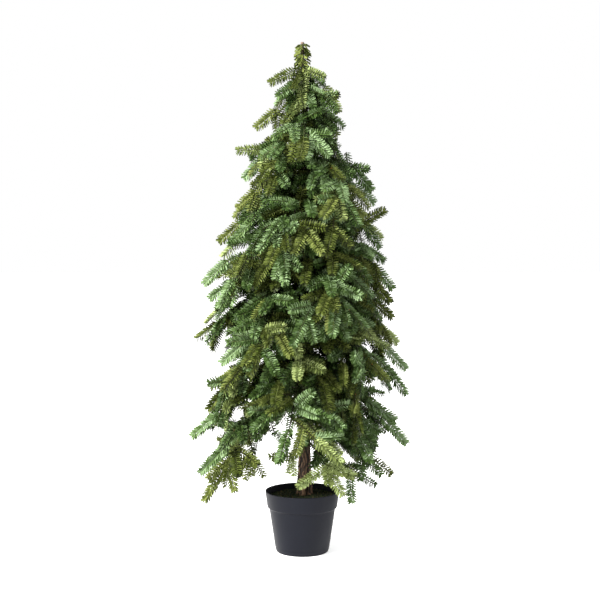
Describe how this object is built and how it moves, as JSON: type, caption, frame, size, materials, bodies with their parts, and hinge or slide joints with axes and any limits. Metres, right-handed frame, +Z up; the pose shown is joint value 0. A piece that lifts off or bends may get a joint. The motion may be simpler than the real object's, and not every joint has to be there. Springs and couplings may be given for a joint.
{
  "type": "artificial potted fir tree",
  "caption": "Artificial fir tree with drooping moulded needle sprays on a straight bark-textured trunk, standing in a plain tapered plant pot with a moss-topped filling.",
  "frame": {"origin": "centre of the pot's flat underside, on the surface that the tree stands on", "axes": "+Z up along the trunk, +X to the right and +Y away from the viewer in the picture's view"},
  "size_m": [0.4963, 0.4946, 1.2],
  "materials": {
    "pot_plastic": "matte",
    "moss_filling": "matte",
    "bark": "matte",
    "needles": "matte"
  },
  "bodies": {
    "root": {"pot": "pot_plastic", "filling": "moss_filling", "trunk": "bark", "bough_01": "bark", "bough_02": "bark", "bough_03": "bark", "bough_04": "bark", "bough_05": "bark", "bough_06": "bark", "bough_07": "bark", "bough_08": "bark", "bough_09": "bark", "bough_10": "bark", "bough_11": "bark", "bough_12": "bark", "bough_13": "bark", "bough_14": "bark", "bough_15": "bark", "bough_16": "bark", "bough_17": "bark", "bough_18": "bark", "bough_19": "bark", "bough_20": "bark", "bough_21": "bark", "bough_22": "bark", "foliage_01": "needles", "foliage_02": "needles", "foliage_03": "needles", "foliage_04": "needles", "foliage_05": "needles", "foliage_06": "needles", "foliage_07": "needles", "foliage_08": "needles", "foliage_09": "needles", "foliage_10": "needles", "foliage_11": "needles", "foliage_12": "needles", "foliage_13": "needles", "foliage_14": "needles", "foliage_15": "needles", "foliage_16": "needles", "foliage_17": "needles", "foliage_18": "needles", "foliage_19": "needles", "foliage_20": "needles", "foliage_21": "needles", "foliage_22": "needles", "foliage_23": "needles", "foliage_24": "needles", "foliage_25": "needles", "foliage_26": "needles", "foliage_27": "needles", "foliage_28": "needles", "foliage_29": "needles", "foliage_30": "needles", "foliage_leader": "needles"}
  },
  "joints": []
}
